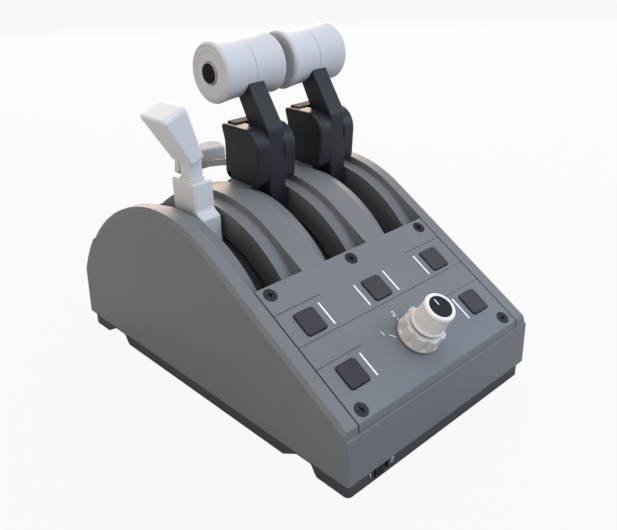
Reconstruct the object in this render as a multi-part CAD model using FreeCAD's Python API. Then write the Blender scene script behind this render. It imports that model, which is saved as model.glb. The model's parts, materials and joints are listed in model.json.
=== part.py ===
# Desktop throttle quadrant: a housing with three lever slots, a sloping control panel,
# a speed brake lever, two throttle levers with reverser levers, and the parts inside.
# Millimetres, +Z up, +Y away from the pilot, +X to the pilot's right.
# The origin is on the desk, under the middle of the whole quadrant.
import FreeCAD, Part
import math
import os

os.makedirs("parts", exist_ok=True)
Vector = FreeCAD.Vector

# ---------------------------------------------------------------- driving dimensions
WIDTH = 160.0
LENGTH = 260.0
FRONT = -LENGTH / 2
REAR = LENGTH / 2
FOOT_PROUD = 1.0
SPLIT_Z = FOOT_PROUD + 9.4
LEDGE_Z = FOOT_PROUD + 37.2
WALL = 3.0

# lever axle and the arcs struck about it
PIVOT_Y = FRONT + 150.5
PIVOT_Z = FOOT_PROUD + 26.7
RIB_R = 89.6
LEDGE_R = 85.5
CHANNEL_R = 68.2
DRUM_R = 67.1
SLOPE = math.radians(30.9)
REAR_TANGENT = math.radians(16.3)
REAR_R = 126.5
REAR_END = math.radians(65.2)
REAR_COVER_PROUD = 1.5
HEEL_Y = REAR - REAR_COVER_PROUD

# lever slots
PITCH = 53.1
SLOT_HALF = 9.0
LEDGE_OUT = 17.6
CREASE = 18.1
SLOT_FRONT = math.radians(-52.0)
SLOT_REAR = math.radians(48.0)
VALLEY_END_Y = PIVOT_Y + 67.5
CHANNEL_WALL = 2.0
LEVER_X = {"speedbrake": -PITCH, "left": 0.0, "right": PITCH}

# control panel, measured along the slope from its front edge
PANEL_FRONT_Y = FRONT + 2.4
PANEL_LENGTH = 88.4
PANEL_HALF = 69.9
PANEL_GAP = 0.8
PANEL_T = 3.0
DECK_T = 3.0
SCREW_X = 63.0
SCREW_TOP = 83.0
SCREW_LOW = 5.6
SCREW_HEAD_R = 4.1
BUTTON_X = PITCH
BUTTON_W = 14.3
BUTTON_L = 14.7
BUTTON_TOP = 59.4
BUTTON_LOW = 23.4
BUTTON_GAP = 0.4
BUTTON_PROUD = 0.9
BOARD_DEPTH = 9.4
BOARD_T = 1.6

# levers
LEVER_HALF = 6.45
ARM_FRONT = PIVOT_Y - 14.6
ARM_REAR = PIVOT_Y + 4.3
GRIP_Y = 37.7
GRIP_Z = 184.4
GRIP_HALF = 23.0
GRIP_END_R = 18.3
GRIP_MID_R = 16.8
BEZEL_R = 7.0
BEZEL_BORE = 5.9
CUP_R = 16.0
CHEEK_OUT = {-1: 16.3, 1: 15.4}
REVERSER_Y = 34.3
REVERSER_Z = 121.1
PIN_R = 1.75
AXLE_R = 3.0
RUNNING = 0.05


# ---------------------------------------------------------------- helpers
def polar(radius, angle, centre=(PIVOT_Y, PIVOT_Z)):
    """Point (y, z) at an angle from straight up, positive to the rear."""
    return (centre[0] + radius * math.sin(angle), centre[1] + radius * math.cos(angle))


def slope_z(y, depth=0.0):
    """Height of the sloping panel plane, or of a plane parallel to it and deeper."""
    rise = (RIB_R - depth + (y - PIVOT_Y) * math.sin(SLOPE)) / math.cos(SLOPE)
    return PIVOT_Z + rise


REAR_CENTRE = polar(RIB_R - REAR_R, REAR_TANGENT)


def at(x, point):
    return Vector(x, point[0], point[1])


def line(a, b, x=0.0):
    return Part.LineSegment(at(x, a), at(x, b)).toShape()


def arc(radius, start, end, centre=(PIVOT_Y, PIVOT_Z), x=0.0):
    middle = (start + end) / 2
    points = [at(x, polar(radius, angle, centre)) for angle in (start, middle, end)]
    return Part.Arc(points[0], points[1], points[2]).toShape()


def slab(edges, x_low, x_high):
    """Extrude a closed outline in the YZ plane from x_low to x_high."""
    face = Part.Face(Part.Wire(Part.__sortEdges__(edges)))
    face.translate(Vector(x_low, 0, 0))
    return face.extrude(Vector(x_high - x_low, 0, 0))


def polygon_slab(points, x_low, x_high):
    edges = [line(points[i - 1], points[i]) for i in range(len(points))]
    return slab(edges, x_low, x_high)


def rounded_slab(corners, x_low, x_high):
    """Extrude an outline of (y, z, corner radius) points from x_low to x_high."""
    body = polygon_slab([(y, z) for y, z, radius in corners], x_low, x_high)
    for y, z, radius in corners:
        if radius > 0:
            edges = [e for e in body.Edges if e.BoundBox.XLength > 1.0
                     and abs(e.BoundBox.YMin - y) < 0.01 and abs(e.BoundBox.ZMin - z) < 0.01]
            body = body.makeFillet(radius, edges)
    return body


def box(x_low, x_high, y_low, y_high, z_low, z_high):
    size = (x_high - x_low, y_high - y_low, z_high - z_low)
    return Part.makeBox(size[0], size[1], size[2], Vector(x_low, y_low, z_low))


def rod(radius, x_low, x_high, y, z):
    return Part.makeCylinder(radius, x_high - x_low, Vector(x_low, y, z), Vector(1, 0, 0))


def post(radius, x, y, z_low, z_high):
    return Part.makeCylinder(radius, z_high - z_low, Vector(x, y, z_low))


def sector(inner, outer, start, end, x_low, x_high):
    """Part of a ring about the lever axle."""
    edges = [
        arc(outer, start, end),
        line(polar(outer, end), polar(inner, end)),
        arc(inner, start, end),
        line(polar(inner, start), polar(outer, start)),
    ]
    return slab(edges, x_low, x_high)


def fused(shapes):
    return shapes[0].multiFuse(shapes[1:]).removeSplitter()


def loft(wires):
    """Ruled solid between two outlines, turned the right way out."""
    solid = Part.makeLoft(wires, True, True)
    if solid.Volume < 0:
        solid.reverse()
    return solid


def on_panel(shape):
    """Move a shape drawn on flat X, slope, height axes onto the control panel."""
    moved = shape.copy()
    moved.rotate(Vector(0, 0, 0), Vector(1, 0, 0), math.degrees(SLOPE))
    moved.translate(Vector(0, PANEL_FRONT_Y, slope_z(PANEL_FRONT_Y)))
    return moved


def rounded_block(x, y, width, length, z_low, z_high, radius):
    block = box(x - width / 2, x + width / 2, y - length / 2, y + length / 2, z_low, z_high)
    upright = [e for e in block.Edges if abs(e.Vertexes[0].Z - e.Vertexes[1].Z) > 1e-6]
    return block.makeFillet(radius, upright)


def soften(shape, radius, wanted):
    """Fillet the edges that the test picks."""
    edges = [edge for edge in shape.Edges if wanted(edge)]
    return shape.makeFillet(radius, edges)


def export(name, shape):
    shape.exportStep("parts/" + name + ".step")
    box_ = shape.BoundBox
    print("%-24s solids %d valid %s  x %.1f..%.1f y %.1f..%.1f z %.1f..%.1f" % (
        name, len(shape.Solids), shape.isValid(),
        box_.XMin, box_.XMax, box_.YMin, box_.YMax, box_.ZMin, box_.ZMax))


# ---------------------------------------------------------------- housing
PANEL_TOP_Y = PANEL_FRONT_Y + PANEL_LENGTH * math.cos(SLOPE)


def housing_outline():
    foot = (FRONT, SPLIT_Z)
    ledge = (FRONT + 0.6, LEDGE_Z)
    facet = (FRONT + 1.9, LEDGE_Z + 0.3)
    brow = (PANEL_FRONT_Y, slope_z(PANEL_FRONT_Y))
    crown = polar(RIB_R, -SLOPE)
    hip = polar(REAR_R, REAR_END, REAR_CENTRE)
    heel = (HEEL_Y, SPLIT_Z)
    return [
        line(foot, ledge),
        line(ledge, facet),
        line(facet, brow),
        line(brow, crown),
        arc(RIB_R, -SLOPE, REAR_TANGENT),
        arc(REAR_R, REAR_TANGENT, REAR_END, REAR_CENTRE),
        line(hip, heel),
        line(heel, foot),
    ]


def crest(x):
    """Closed outline above the rib tops, over the stretch that the slots take up."""
    top = 200.0
    front = (PANEL_TOP_Y, slope_z(PANEL_TOP_Y))
    crown = polar(RIB_R, -SLOPE)
    back_angle = math.asin((VALLEY_END_Y - REAR_CENTRE[0]) / REAR_R)
    back = polar(REAR_R, back_angle, REAR_CENTRE)
    edges = [
        line(front, crown, x),
        arc(RIB_R, -SLOPE, REAR_TANGENT, x=x),
        arc(REAR_R, REAR_TANGENT, back_angle, REAR_CENTRE, x),
        line(back, (back[0], top), x),
        line((back[0], top), (front[0], top), x),
        line((front[0], top), front, x),
    ]
    return Part.Wire(edges)


def valley_floor(x):
    """Closed outline above the round ledge, edge for edge like crest()."""
    top = 200.0
    front_angle = math.asin((PANEL_TOP_Y - PIVOT_Y) / LEDGE_R)
    back_angle = math.asin((VALLEY_END_Y - PIVOT_Y) / LEDGE_R)
    front = polar(LEDGE_R, front_angle)
    back = polar(LEDGE_R, back_angle)
    edges = [
        arc(LEDGE_R, front_angle, -SLOPE, x=x),
        arc(LEDGE_R, -SLOPE, REAR_TANGENT, x=x),
        arc(LEDGE_R, REAR_TANGENT, back_angle, x=x),
        line(back, (back[0], top), x),
        line((back[0], top), (front[0], top), x),
        line((front[0], top), front, x),
    ]
    return Part.Wire(edges)


def valley(x):
    """The hollow between two ribs: a bevel, the slot mouth, a ledge and a steep flank."""
    bevel = loft([crest(x - CREASE), valley_floor(x - SLOT_HALF)])
    floor = Part.Face(valley_floor(x - SLOT_HALF)).extrude(Vector(SLOT_HALF + LEDGE_OUT, 0, 0))
    flank = loft([valley_floor(x + LEDGE_OUT), crest(x + CREASE)])
    return [bevel, floor, flank]


def cavity():
    """The room inside the shell, open at the bottom."""
    deck = PANEL_T + DECK_T
    ceiling = LEDGE_R - WALL
    wall_y = PANEL_TOP_Y - WALL
    front_angle = math.asin((wall_y - PIVOT_Y) / ceiling)
    step = math.radians(52.0)
    rear_arc = REAR_R - WALL
    low = SPLIT_Z - 5.0
    front_low = (FRONT + WALL, low)
    front_high = (FRONT + WALL + 3.0, slope_z(FRONT + WALL + 3.0, deck))
    deck_end = (wall_y, slope_z(wall_y, deck))
    hip = polar(rear_arc, REAR_END, REAR_CENTRE)
    edges = [
        line(front_low, (FRONT + WALL, LEDGE_Z - 3.0)),
        line((FRONT + WALL, LEDGE_Z - 3.0), front_high),
        line(front_high, deck_end),
        line(deck_end, polar(ceiling, front_angle)),
        arc(ceiling, front_angle, step),
        line(polar(ceiling, step), polar(rear_arc, step, REAR_CENTRE)),
        arc(rear_arc, step, REAR_END, REAR_CENTRE),
        line(hip, (HEEL_Y - WALL, low)),
        line((HEEL_Y - WALL, low), front_low),
    ]
    half = WIDTH / 2 - WALL
    return slab(edges, -half, half)


def panel_outline(lift):
    """Panel section: a plate down the slope with a turned-down front edge."""
    skirt = 2.6
    front = FRONT + 1.9 - lift
    brow = (PANEL_FRONT_Y - lift, slope_z(PANEL_FRONT_Y - lift, -lift))
    end_top = end_point(-lift)
    end_low = end_point(PANEL_T)
    inner = (PANEL_FRONT_Y + skirt, slope_z(PANEL_FRONT_Y + skirt, PANEL_T))
    return [
        (front, LEDGE_Z + 0.3),
        brow,
        end_top,
        end_low,
        inner,
        (PANEL_FRONT_Y + skirt, LEDGE_Z + 0.3),
    ]


def end_point(depth):
    """Point at the panel's far end, on a square cut through its thickness."""
    top = (PANEL_TOP_Y, slope_z(PANEL_TOP_Y))
    return (top[0] + depth * math.sin(SLOPE), top[1] - depth * math.cos(SLOPE))


REAR_COVER_HALF = 76.5
REAR_COVER_TOP = math.radians(49.4)


def rear_cover_band(outer, inner, half, top_angle):
    """Curved plate that follows the back of the housing, between two offsets."""
    low = SPLIT_Z + 1.0
    outer_hip = polar(REAR_R + outer, REAR_END, REAR_CENTRE)
    inner_hip = polar(REAR_R - inner, REAR_END, REAR_CENTRE)
    edges = [
        arc(REAR_R + outer, top_angle, REAR_END, REAR_CENTRE),
        line(outer_hip, (HEEL_Y + outer, low)),
        line((HEEL_Y + outer, low), (HEEL_Y - inner, low)),
        line((HEEL_Y - inner, low), inner_hip),
        arc(REAR_R - inner, top_angle, REAR_END, REAR_CENTRE),
        line(polar(REAR_R - inner, top_angle, REAR_CENTRE),
             polar(REAR_R + outer, top_angle, REAR_CENTRE)),
    ]
    return slab(edges, -half, half)


BASE_SCREWS = [(x, y) for x in (-71.0, 71.0) for y in (FRONT + 16.0, -16.0, REAR - 14.0)]
BOSS_R = 4.5
BOSS_TOP = SPLIT_Z + 26.0
PILOT_R = 1.6
WINDOW_HALF = 55.0
WINDOW_TOP = 58.0
WINDOW_LOW = SPLIT_Z + 6.0
DECK_OPENING = (63.5, 10.0, 78.0)


def side_bevel(side):
    """Shallow bevel round the outer edge of a side face, above the front ledge."""
    reach = 1.4
    depth = 3.2
    x_out = side * (WIDTH / 2 + 1.0)
    x_in = side * (WIDTH / 2 - reach)

    def ring(x, shrink):
        crown = polar(RIB_R - shrink, -SLOPE)
        front = (FRONT - 6.0, slope_z(FRONT - 6.0, shrink))
        back = polar(REAR_R - shrink, REAR_COVER_TOP, REAR_CENTRE)
        far = polar(REAR_R + 12.0, REAR_COVER_TOP, REAR_CENTRE)
        edges = [
            line(front, crown, x),
            arc(RIB_R - shrink, -SLOPE, REAR_TANGENT, x=x),
            arc(REAR_R - shrink, REAR_TANGENT, REAR_COVER_TOP, REAR_CENTRE, x),
            line(back, far, x),
            line(far, (far[0], 200.0), x),
            line((far[0], 200.0), (front[0], 200.0), x),
            line((front[0], 200.0), front, x),
        ]
        return Part.Wire(edges)

    slope = depth / reach
    return loft([ring(x_in, 0.0), ring(x_out, depth + slope)])


def make_housing():
    shell = slab(housing_outline(), -WIDTH / 2, WIDTH / 2)
    cuts = [cavity()]
    for x in LEVER_X.values():
        cuts.extend(valley(x))
    cuts.append(side_bevel(-1))
    cuts.append(side_bevel(1))
    shell = shell.cut(cuts)

    # channels that guide the levers, between the ledges and the drums
    walls = []
    for x in LEVER_X.values():
        half = SLOT_HALF + CHANNEL_WALL
        wall_angle = CHANNEL_WALL / CHANNEL_R
        walls.append(sector(CHANNEL_R, LEDGE_R - 1.0, SLOT_FRONT - wall_angle,
                            SLOT_REAR + wall_angle, x - half, x + half))
    # posts that take the screws of the base plate
    for x, y in BASE_SCREWS:
        walls.append(post(BOSS_R, x, y, SPLIT_Z, BOSS_TOP))
        web_low, web_high = sorted((x, math.copysign(WIDTH / 2 - 1.0, x)))
        walls.append(box(web_low, web_high, y - 1.0, y + 1.0, SPLIT_Z, BOSS_TOP))
    shell = fused([shell] + walls)

    cuts = [sector(CHANNEL_R - 3.0, RIB_R + 30.0, SLOT_FRONT, SLOT_REAR,
                   x - SLOT_HALF, x + SLOT_HALF) for x in LEVER_X.values()]
    half = PANEL_HALF + PANEL_GAP
    cuts.append(polygon_slab(panel_outline(3.0), -half, half))
    # opening under the panel for the buttons, the knob and the circuit board
    opening_half, opening_low, opening_high = DECK_OPENING
    cuts.append(on_panel(box(-opening_half, opening_half, opening_low, opening_high,
                             -PANEL_T - DECK_T - 4.0, 0.0)))
    for x, s in panel_screw_places():
        cuts.append(on_panel(post(PILOT_R, x, s, -14.0, 0.0)))
    # seat and window behind the rear cover
    cuts.append(rear_cover_band(REAR_COVER_PROUD + 1.0, 1.5, REAR_COVER_HALF + 0.3,
                                REAR_COVER_TOP - 0.003))
    cuts.append(box(-WINDOW_HALF, WINDOW_HALF, REAR - 25.0, REAR + 5.0, WINDOW_LOW, WINDOW_TOP))
    for x, y in BASE_SCREWS:
        cuts.append(post(PILOT_R, x, y, SPLIT_Z - 1.0, SPLIT_Z + 20.0))
    return shell.cut(cuts).removeSplitter()


# ---------------------------------------------------------------- panel and its parts
def panel_screw_places():
    top = [(x, SCREW_TOP) for x in (-SCREW_X, 0.0, SCREW_X)]
    return top + [(x, SCREW_LOW) for x in (-SCREW_X, SCREW_X)]


def button_places():
    top = [(x, BUTTON_TOP) for x in (-BUTTON_X, 0.0, BUTTON_X)]
    return top + [(x, BUTTON_LOW) for x in (-BUTTON_X, BUTTON_X)]


GROOVES = [(71.0, True), (49.0, False), (34.4, True)]
BOARD_POSTS = [(x, s) for x in (-30.0, 30.0) for s in (18.0, 70.0)]
SHAFT_HOLE_R = 5.2
SHANK_R = 1.5
SCREW_DEPTH = 2.4
GROOVE_HALF = 0.3
GROOVE_DEPTH = 0.5
GROOVE_GAP_HALF = 36.3


def make_control_panel():
    plate = polygon_slab(panel_outline(0.0), -PANEL_HALF, PANEL_HALF)
    standoffs = [on_panel(post(2.6, x, s, -BOARD_DEPTH, -1.0)) for x, s in BOARD_POSTS]
    plate = fused([plate] + standoffs)
    cuts = []
    for x, s in button_places():
        hole = rounded_block(x, s, BUTTON_W + 2 * BUTTON_GAP, BUTTON_L + 2 * BUTTON_GAP,
                             -6.0, 2.0, 2.2)
        cuts.append(on_panel(hole))
    for x, s in panel_screw_places():
        seat_r = SCREW_HEAD_R + 0.15
        seat = Part.makeCone(2.0, seat_r, SCREW_DEPTH, Vector(x, s, -SCREW_DEPTH))
        cuts.append(on_panel(seat))
        cuts.append(on_panel(post(SHANK_R + 0.6, x, s, -6.0, 1.0)))
        cuts.append(on_panel(post(seat_r, x, s, 0.0, 1.0)))
    cuts.append(on_panel(post(SHAFT_HOLE_R, 0.0, BUTTON_LOW, -6.0, 2.0)))
    far = PANEL_HALF + 10.0
    for s, split in GROOVES:
        spans = [(-far, -GROOVE_GAP_HALF), (GROOVE_GAP_HALF, far)] if split else [(-far, far)]
        for x_low, x_high in spans:
            cuts.append(on_panel(box(x_low, x_high, s - GROOVE_HALF, s + GROOVE_HALF,
                                     -GROOVE_DEPTH, 1.0)))
    return plate.cut(cuts).removeSplitter()


def countersunk_screw(x, s, shank_end):
    head = Part.makeCone(1.75, SCREW_HEAD_R, SCREW_DEPTH - 0.1, Vector(x, s, -SCREW_DEPTH))
    rim = post(SCREW_HEAD_R, x, s, -0.1, 0.0)
    shank = post(SHANK_R, x, s, shank_end, 0.1 - SCREW_DEPTH)
    bit_half = 1.8
    blade_half = 0.45
    cross = [box(x - bit_half, x + bit_half, s - blade_half, s + blade_half, -1.3, 0.5),
             box(x - blade_half, x + blade_half, s - bit_half, s + bit_half, -1.3, 0.5)]
    return on_panel(fused([head, rim, shank]).cut(cross))


def make_panel_screws():
    return Part.makeCompound([countersunk_screw(x, s, -12.0) for x, s in panel_screw_places()])


def make_button(x, s):
    cap = rounded_block(x, s, BUTTON_W, BUTTON_L, -3.4, BUTTON_PROUD, 1.8)
    cap = soften(cap, 0.5, lambda e: e.BoundBox.ZMin > BUTTON_PROUD - 0.01)
    flange = rounded_block(x, s, BUTTON_W + 2.4, BUTTON_L + 2.4, -4.4, -3.05, 1.5)
    stem = post(2.0, x, s, -4.9, -4.3)
    return on_panel(fused([cap, flange, stem]))


def make_panel_board():
    board = box(-61.0, 61.0, 14.0, 73.0, -BOARD_DEPTH - BOARD_T, -BOARD_DEPTH)
    holes = [post(1.1, x, s, -15.0, -5.0) for x, s in BOARD_POSTS]
    return on_panel(board.cut(holes))


def make_panel_switches():
    height = 3.2
    bodies = [box(x - 3.0, x + 3.0, s - 3.0, s + 3.0, -BOARD_DEPTH, -BOARD_DEPTH + height)
              for x, s in button_places()]
    return Part.makeCompound([on_panel(body) for body in bodies])


# dual knob, heights above the panel
RING_LOW = 0.5
RING_TOP = 10.8
RING_R = 12.9
RING_FLUTES = 12
DIAL_LOW = 11.9
DIAL_TOP = 27.9
DIAL_LOW_R = 10.3
DIAL_TOP_R = 9.1
CAP_R = 6.9
SPINDLE_R = 3.0
SPINDLE_TOP = 24.0
ENCODER_TOP = -3.0


def make_encoder_body():
    body = rounded_block(0.0, BUTTON_LOW, 15.0, 15.0, -BOARD_DEPTH, ENCODER_TOP, 1.0)
    bore = post(SPINDLE_R + RUNNING, 0.0, BUTTON_LOW, -BOARD_DEPTH + 0.6, 0.0)
    return on_panel(body.cut(bore))


def make_knob_spindle():
    return on_panel(post(SPINDLE_R, 0.0, BUTTON_LOW, -6.9, SPINDLE_TOP))


def make_knob_ring():
    profile = [
        (SPINDLE_R + RUNNING, RING_LOW - 3.4), (4.6, RING_LOW - 3.4), (4.6, RING_LOW),
        (RING_R - 0.4, RING_LOW), (RING_R, RING_LOW + 0.8), (RING_R - 0.9, RING_TOP - 0.8),
        (RING_R - 1.7, RING_TOP), (SPINDLE_R + RUNNING, RING_TOP),
    ]
    points = [Vector(r, 0, z) for r, z in profile]
    face = Part.Face(Part.makePolygon(points + [points[0]]))
    body = face.revolve(Vector(0, 0, 0), Vector(0, 0, 1), 360)
    flute_r = 1.5
    flutes = []
    for i in range(RING_FLUTES):
        angle = 2 * math.pi * i / RING_FLUTES
        reach = RING_R + 0.35
        x = reach * math.cos(angle)
        y = reach * math.sin(angle)
        flutes.append(post(flute_r, x, y, RING_LOW + 2.6, RING_TOP + 1.0))
    body = body.cut(flutes)
    body.translate(Vector(0, BUTTON_LOW, 0))
    return on_panel(body)


def make_knob_dial():
    recess = 0.7
    profile = [
        (SPINDLE_R + RUNNING, DIAL_LOW), (DIAL_LOW_R, DIAL_LOW), (DIAL_LOW_R + 0.3, DIAL_LOW + 0.5),
        (DIAL_LOW_R, DIAL_LOW + 1.4), (DIAL_LOW_R - 0.4, DIAL_LOW + 1.7),
        (DIAL_TOP_R - 0.2, DIAL_TOP - 2.6), (DIAL_TOP_R + 0.1, DIAL_TOP - 2.2),
        (DIAL_TOP_R + 0.1, DIAL_TOP - 1.2), (DIAL_TOP_R - 0.9, DIAL_TOP),
        (CAP_R, DIAL_TOP), (CAP_R, DIAL_TOP - recess), (0.0, DIAL_TOP - recess),
        (0.0, SPINDLE_TOP + RUNNING), (SPINDLE_R + RUNNING, SPINDLE_TOP + RUNNING),
    ]
    points = [Vector(r, 0, z) for r, z in profile]
    face = Part.Face(Part.makePolygon(points + [points[0]]))
    body = face.revolve(Vector(0, 0, 0), Vector(0, 0, 1), 360)
    body.translate(Vector(0, BUTTON_LOW, 0))
    return on_panel(body)


def make_knob_cap():
    return on_panel(post(CAP_R, 0.0, BUTTON_LOW, DIAL_TOP - 0.7, DIAL_TOP - 0.25))


# ---------------------------------------------------------------- base plate
BASE_INSET = 1.6
BASE_HALF = WIDTH / 2 - BASE_INSET
BASE_FRONT = FRONT + BASE_INSET
BASE_REAR = REAR - 3.4
NOTCHES = [(-106.3, -77.1), (80.2, 110.0)]
NOTCH_TOP = FOOT_PROUD + 6.5
NOTCH_DEPTH = 20.0
FEET = [(x, y) for x in (-58.0, 58.0) for y in (-118.0, -60.0, 60.0, 118.0)]
FEET_R = 7.0
SELECTOR_X = -PITCH
SELECTOR_Z = FOOT_PROUD + 5.4
SELECTOR_HALF = 5.6
INSERTS = [(x, y) for x in (-37.5, 37.5) for y in (-37.5, 37.5)]
INSERT_R = 3.0
INSERT_BORE = 2.0
INSERT_TOP = FOOT_PROUD + 7.0
BASE_HEAD_R = 3.3


def notch(y_low, y_high, side):
    """Grip recess at the lower edge of a side; its front flank is a soft curve."""
    inner = BASE_HALF - NOTCH_DEPTH
    outer = BASE_HALF + 3.0
    low = FOOT_PROUD - 1.0
    points = [
        (y_low, low), (y_low + 2.5, FOOT_PROUD + 2.0), (y_low + 5.0, NOTCH_TOP),
        (y_high - 13.0, NOTCH_TOP), (y_high, low),
    ]
    x_low, x_high = sorted((side * inner, side * outer))
    shape = polygon_slab(points, x_low, x_high)
    return soften(shape, 1.8, lambda e: e.BoundBox.XLength > 5.0 and e.BoundBox.ZMin > low + 1.0)


def make_base_plate():
    mid_y = (BASE_FRONT + BASE_REAR) / 2
    plate = rounded_block(0.0, mid_y, 2 * BASE_HALF, BASE_REAR - BASE_FRONT,
                          FOOT_PROUD, SPLIT_Z, 3.0)
    cuts = []
    for y_low, y_high in NOTCHES:
        for side in (-1, 1):
            cuts.append(notch(y_low, y_high, side))
    for x, y in FEET:
        cuts.append(post(FEET_R, x, y, FOOT_PROUD - 1.0, FOOT_PROUD + 0.8))
    for x, y in BASE_SCREWS:
        cuts.append(post(SHANK_R + 0.5, x, y, 0.0, SPLIT_Z + 1.0))
        cuts.append(post(BASE_HEAD_R + 0.3, x, y, 0.0, FOOT_PROUD + 5.0))
    for x, y in INSERTS:
        cuts.append(post(INSERT_R, x, y, 0.0, INSERT_TOP))
    cuts.append(box(SELECTOR_X - SELECTOR_HALF, SELECTOR_X + SELECTOR_HALF,
                    BASE_FRONT - 1.0, BASE_FRONT + 12.0, SELECTOR_Z - 3.2, SPLIT_Z + 1.0))
    return fused([plate.cut(cuts)] + board_stands())


def make_base_feet():
    pads = [post(FEET_R, x, y, 0.0, FOOT_PROUD + 0.8) for x, y in FEET]
    pads = [soften(pad, 0.5, lambda e: e.BoundBox.ZMax < 0.01) for pad in pads]
    return Part.makeCompound(pads)


def make_base_screws():
    screws = []
    for x, y in BASE_SCREWS:
        head = post(BASE_HEAD_R, x, y, FOOT_PROUD + 2.8, FOOT_PROUD + 5.0)
        shank = post(SHANK_R, x, y, FOOT_PROUD + 4.9, SPLIT_Z + 18.0)
        recess = box(x - 0.6, x + 0.6, y - 2.0, y + 2.0, 0.0, FOOT_PROUD + 4.0)
        cross = box(x - 2.0, x + 2.0, y - 0.6, y + 0.6, 0.0, FOOT_PROUD + 4.0)
        screws.append(fused([head, shank]).cut([recess, cross]))
    return Part.makeCompound(screws)


def make_mount_inserts():
    inserts = []
    for x, y in INSERTS:
        sleeve = post(INSERT_R, x, y, FOOT_PROUD, INSERT_TOP)
        inserts.append(sleeve.cut(post(INSERT_BORE, x, y, 0.0, INSERT_TOP + 1.0)))
    return Part.makeCompound(inserts)


def make_selector_switch():
    back = BASE_FRONT + 12.0
    body = box(SELECTOR_X - 5.4, SELECTOR_X + 5.4, back - 6.0, back, SELECTOR_Z - 3.2,
               SELECTOR_Z + 3.4)
    slot = box(SELECTOR_X - 4.4, SELECTOR_X + 4.4, back - 7.0, back - 3.0, SELECTOR_Z - 1.5,
               SELECTOR_Z + 1.5)
    return body.cut(slot)


def make_engine_selector():
    low_x = SELECTOR_X - SELECTOR_HALF + 0.3
    thumb = box(low_x, low_x + 6.8, FRONT + 0.6, BASE_FRONT + 5.6,
                SELECTOR_Z - 3.15, SELECTOR_Z + 3.5)
    tongue = box(low_x + 1.2, low_x + 4.4, BASE_FRONT + 5.5, BASE_FRONT + 8.6,
                 SELECTOR_Z - 1.45, SELECTOR_Z + 1.45)
    grips = [box(low_x + 1.2 + 1.7 * i, low_x + 1.9 + 1.7 * i, FRONT, FRONT + 1.1,
                 SELECTOR_Z - 3.0, SELECTOR_Z + 4.0) for i in range(3)]
    return fused([thumb, tongue]).cut(grips)


# ---------------------------------------------------------------- rear cover and socket
SOCKET_Z = SPLIT_Z + 18.0
SOCKET_W = 9.0
SOCKET_H = 3.3


def socket_block(grow, y_low, y_high):
    width = SOCKET_W + 2 * grow
    height = SOCKET_H + 2 * grow
    shape = box(-width / 2, width / 2, y_low, y_high, SOCKET_Z - height / 2,
                SOCKET_Z + height / 2)
    return soften(shape, height / 2 - 0.05, lambda e: e.BoundBox.YLength > 1.0)


def make_rear_cover():
    cover = rear_cover_band(REAR_COVER_PROUD, 1.4, REAR_COVER_HALF, REAR_COVER_TOP)
    ribs = []
    for x in (-WINDOW_HALF + 3.0, WINDOW_HALF - 3.0):
        ribs.append(box(x - 1.5, x + 1.5, REAR - 12.0, REAR - 3.5, WINDOW_LOW + 2.0, 40.0))
    dish = box(-8.5, 8.5, REAR - 2.6, REAR + 5.0, SOCKET_Z - 5.0, SOCKET_Z + 5.0)
    return fused([cover] + ribs).cut([dish, socket_block(0.5, REAR - 16.0, REAR + 5.0)])


def make_usb_socket():
    shell = socket_block(0.35, REAR - 11.5, REAR - 2.8)
    tongue = box(-3.3, 3.3, REAR - 9.6, REAR - 4.4, SOCKET_Z - 0.35, SOCKET_Z + 0.35)
    return fused([shell.cut(socket_block(0.0, REAR - 9.5, REAR)), tongue])


BOARD_Z = SOCKET_Z - SOCKET_H / 2 - 0.35
BOARD_STANDS = [(x, y) for x in (-34.0, 34.0) for y in (95.0, 107.0)]


def make_main_board():
    board = box(-40.0, 40.0, 90.5, REAR - 6.0, BOARD_Z - BOARD_T, BOARD_Z)
    holes = [post(1.6, x, y, 0.0, 60.0) for x, y in BOARD_STANDS]
    return board.cut(holes)


def board_stands():
    return [post(3.0, x, y, SPLIT_Z - 0.5, BOARD_Z - BOARD_T) for x, y in BOARD_STANDS]


def make_ballast():
    plate = rounded_block(0.0, -81.0, 100.0, 52.0, SPLIT_Z, SPLIT_Z + 5.0, 3.0)
    holes = [post(2.2, x, -81.0, 0.0, 20.0) for x in (-40.0, 40.0)]
    return plate.cut(holes)


# ---------------------------------------------------------------- lever axle
SUPPORTS = [-73.5, -PITCH / 2, PITCH / 2, 73.5]
SUPPORT_T = 5.0
BUSH_R = 4.5


def make_axle_supports():
    supports = []
    for x in SUPPORTS:
        low = x - SUPPORT_T / 2
        high = x + SUPPORT_T / 2
        foot = box(low, high, PIVOT_Y - 22.0, PIVOT_Y + 22.0, SPLIT_Z, SPLIT_Z + 4.0)
        head = rod(8.0, low, high, PIVOT_Y, PIVOT_Z)
        web = polygon_slab([(PIVOT_Y - 18.0, SPLIT_Z + 3.5), (PIVOT_Y + 18.0, SPLIT_Z + 3.5),
                            (PIVOT_Y + 7.4, PIVOT_Z + 3.0), (PIVOT_Y - 7.4, PIVOT_Z + 3.0)],
                           low, high)
        body = fused([foot, head, web])
        supports.append(body.cut(rod(BUSH_R, low - 1.0, high + 1.0, PIVOT_Y, PIVOT_Z)))
    return Part.makeCompound(supports)


def make_axle_bushes():
    bushes = []
    for x in SUPPORTS:
        low = x - SUPPORT_T / 2
        high = x + SUPPORT_T / 2
        sleeve = rod(BUSH_R, low, high, PIVOT_Y, PIVOT_Z)
        bushes.append(sleeve.cut(rod(AXLE_R, low - 1.0, high + 1.0, PIVOT_Y, PIVOT_Z)))
    return Part.makeCompound(bushes)


def make_lever_axle():
    return rod(AXLE_R, -76.5, 76.5, PIVOT_Y, PIVOT_Z)


DRUM_HALF = 10.4
DRUM_SPREAD = math.radians(72.0)
HUB_R = 9.0
TONGUE_HALF = 4.0


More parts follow.
